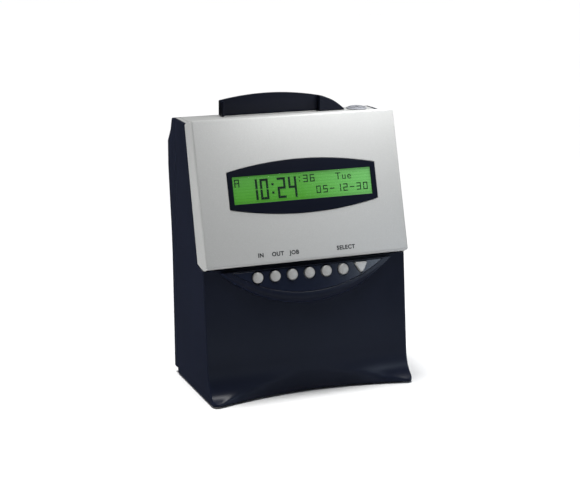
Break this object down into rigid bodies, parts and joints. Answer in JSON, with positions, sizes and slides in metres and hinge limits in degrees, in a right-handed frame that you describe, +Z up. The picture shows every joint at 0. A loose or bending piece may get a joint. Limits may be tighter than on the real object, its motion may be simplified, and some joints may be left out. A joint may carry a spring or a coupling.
{
  "type": "punch time clock",
  "caption": "Desktop punch time clock: a dark case with a silver tilting cover, a green display, a row of sprung keys, and a top card slot over a moving print mechanism.",
  "frame": {"origin": "on the table, under the centre of the outline in plan", "axes": "+X to the user's right, +Y to the back of the machine, +Z up"},
  "size_m": [0.184, 0.116, 0.2453],
  "materials": {
    "dark_case": "semi-gloss dark navy moulding, fine texture",
    "silver_cover": "satin silver paint",
    "key_silver": "silver-painted plastic",
    "clear_window": "clear polished plastic",
    "lcd": "back-lit green liquid-crystal cell",
    "black_plastic": "matt black plastic",
    "steel": "zinc-plated steel",
    "brass": "machined brass",
    "circuit_board": "green solder mask",
    "rubber": "matt black rubber",
    "winding": "varnished copper winding"
  },
  "bodies": {
    "chassis": {"main_case": "dark_case", "base_plate": "dark_case", "rear_cover": "dark_case", "card_deck": "silver_cover", "card_hood": "dark_case", "lock_escutcheon": "steel", "key_plate": "dark_case", "key_board": "circuit_board", "lcd_glass": "lcd", "lcd_frame": "steel", "display_bracket": "steel", "chute_front": "steel", "chute_back": "steel", "platen": "rubber", "mech_plate_left": "steel", "mech_plate_right": "steel", "mech_base": "steel", "guide_rod_lower": "steel", "guide_rod_upper": "steel", "drive_belt": "rubber", "carriage_motor": "steel", "feed_motor": "steel", "ribbon_cartridge": "black_plastic", "ribbon_strip": "black_plastic", "main_board": "circuit_board", "backup_battery": "steel", "power_board": "circuit_board", "transformer_core": "steel", "transformer_winding": "winding", "power_inlet": "black_plastic", "foot_1": "rubber", "foot_2": "rubber", "foot_3": "rubber", "foot_4": "rubber"},
    "cover": {"cover_shell": "silver_cover", "display_bezel": "dark_case", "display_window": "clear_window", "cover_pin_left": "steel", "cover_pin_right": "steel", "lock_striker": "steel"},
    "lock": {"lock_barrel": "steel", "lock_cam": "steel"},
    "print_carriage": {"carriage": "black_plastic", "print_head": "steel"},
    "drive_pulley": {"drive_pulley": "brass"},
    "idler_pulley": {"idler_pulley": "brass"},
    "feed_roller": {"feed_roller": "rubber", "feed_gear": "brass"},
    "motor_pinion": {"motor_pinion": "brass"},
    "pinch_roller": {"pinch_roller": "rubber"},
    "ribbon_knob": {"ribbon_knob": "black_plastic"},
    "key_1": {"key_1": "key_silver"},
    "key_2": {"key_2": "key_silver"},
    "key_3": {"key_3": "key_silver"},
    "key_4": {"key_4": "key_silver"},
    "key_5": {"key_5": "key_silver"},
    "key_6": {"key_6": "key_silver"},
    "key_7": {"key_7": "key_silver"}
  },
  "joints": [
    {"name": "cover_tilt", "type": "hinge", "parent": "chassis", "child": "cover", "pos_m": [0, -0.0318, 0.1147], "axis": [1, 0, 0], "range_deg": [0, 25]},
    {"name": "lock_turn", "type": "hinge", "parent": "chassis", "child": "lock", "pos_m": [0.075, 0.0335, 0.22], "axis": [0, 0, -1], "range_deg": [0, 90]},
    {"name": "carriage_slide", "type": "slide", "parent": "chassis", "child": "print_carriage", "axis": [1, 0, 0], "range_m": [-0.034, 0.036]},
    {"name": "drive_pulley_spin", "type": "hinge", "parent": "chassis", "child": "drive_pulley", "pos_m": [-0.056, 0.002, 0.158], "axis": [0, 1, 0], "range_deg": [-346, 346]},
    {"name": "idler_pulley_spin", "type": "hinge", "parent": "chassis", "child": "idler_pulley", "pos_m": [0.046, 0.002, 0.158], "axis": [0, 1, 0], "range_deg": [-346, 346]},
    {"name": "feed_roller_spin", "type": "hinge", "parent": "chassis", "child": "feed_roller", "pos_m": [0, 0.027, 0.133], "axis": [1, 0, 0], "continuous": true},
    {"name": "motor_pinion_spin", "type": "hinge", "parent": "chassis", "child": "motor_pinion", "pos_m": [0, 0.0058, 0.133], "axis": [1, 0, 0], "continuous": true},
    {"name": "pinch_roller_spin", "type": "hinge", "parent": "chassis", "child": "pinch_roller", "pos_m": [0, 0.0403, 0.133], "axis": [1, 0, 0], "continuous": true},
    {"name": "ribbon_knob_spin", "type": "hinge", "parent": "chassis", "child": "ribbon_knob", "pos_m": [-0.06, 0.0275, 0.197], "axis": [0, 0, 1], "continuous": true},
    {"name": "key_1_press", "type": "slide", "parent": "chassis", "child": "key_1", "axis": [0, 0.9549, -0.2969], "range_m": [0, 0.0015], "stiffness_N_per_m": 300, "springref_m": -0.0008},
    {"name": "key_2_press", "type": "slide", "parent": "chassis", "child": "key_2", "axis": [0, 0.9549, -0.2969], "range_m": [0, 0.0015], "stiffness_N_per_m": 300, "springref_m": -0.0008},
    {"name": "key_3_press", "type": "slide", "parent": "chassis", "child": "key_3", "axis": [0, 0.9549, -0.2969], "range_m": [0, 0.0015], "stiffness_N_per_m": 300, "springref_m": -0.0008},
    {"name": "key_4_press", "type": "slide", "parent": "chassis", "child": "key_4", "axis": [0, 0.9549, -0.2969], "range_m": [0, 0.0015], "stiffness_N_per_m": 300, "springref_m": -0.0008},
    {"name": "key_5_press", "type": "slide", "parent": "chassis", "child": "key_5", "axis": [0, 0.9549, -0.2969], "range_m": [0, 0.0015], "stiffness_N_per_m": 300, "springref_m": -0.0008},
    {"name": "key_6_press", "type": "slide", "parent": "chassis", "child": "key_6", "axis": [0, 0.9549, -0.2969], "range_m": [0, 0.0015], "stiffness_N_per_m": 300, "springref_m": -0.0008},
    {"name": "key_7_press", "type": "slide", "parent": "chassis", "child": "key_7", "axis": [0, 0.9549, -0.2969], "range_m": [0, 0.0015], "stiffness_N_per_m": 300, "springref_m": -0.0008}
  ],
  "couplings": [
    {"joint": "drive_pulley_spin", "follows": "carriage_slide", "rad_per_m": 166.67},
    {"joint": "idler_pulley_spin", "follows": "carriage_slide", "rad_per_m": 166.67},
    {"joint": "motor_pinion_spin", "follows": "feed_roller_spin", "ratio": -2},
    {"joint": "pinch_roller_spin", "follows": "feed_roller_spin", "ratio": -1}
  ]
}
